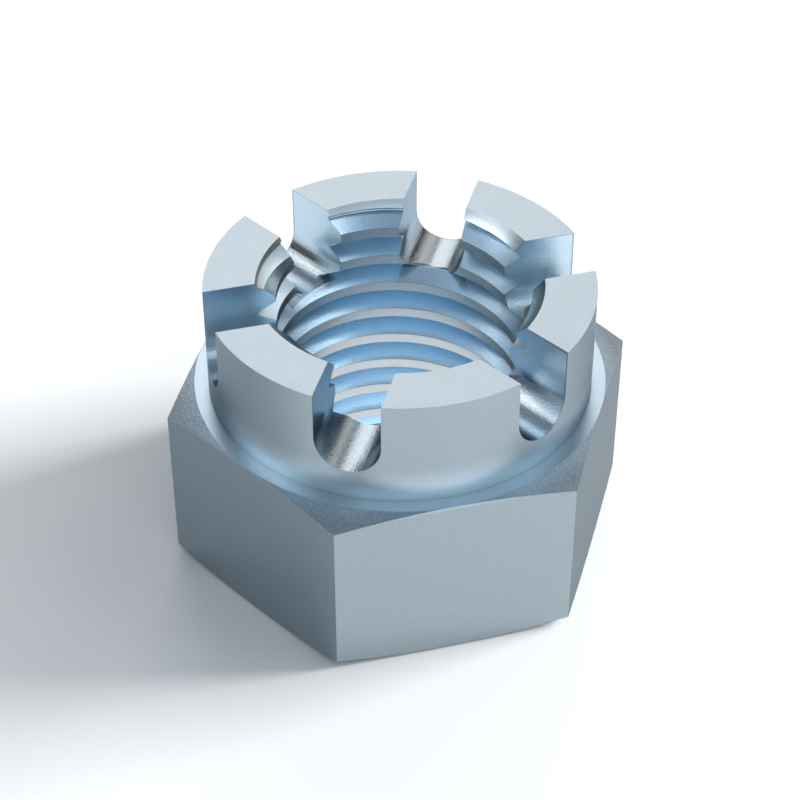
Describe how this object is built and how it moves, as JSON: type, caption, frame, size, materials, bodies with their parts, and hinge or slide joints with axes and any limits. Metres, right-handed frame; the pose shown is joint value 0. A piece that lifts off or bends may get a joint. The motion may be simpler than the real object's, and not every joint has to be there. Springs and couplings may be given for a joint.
{
  "type": "castle nut",
  "caption": "Hexagon castle nut with a round slotted crown for a split pin and a coarse right-hand thread right through.",
  "frame": {"origin": "centre of the bearing face, on the thread's axis", "axes": "+Z along the thread's axis from the bearing face to the crown; X through two opposite corners of the hexagon and the two slots above them; Y across two opposite flats"},
  "size_m": [0.0346, 0.03, 0.022],
  "materials": {
    "plated_steel": "satin zinc plate with a pale blue passivate"
  },
  "bodies": {
    "root": {"castle_nut": "plated_steel"}
  },
  "joints": []
}
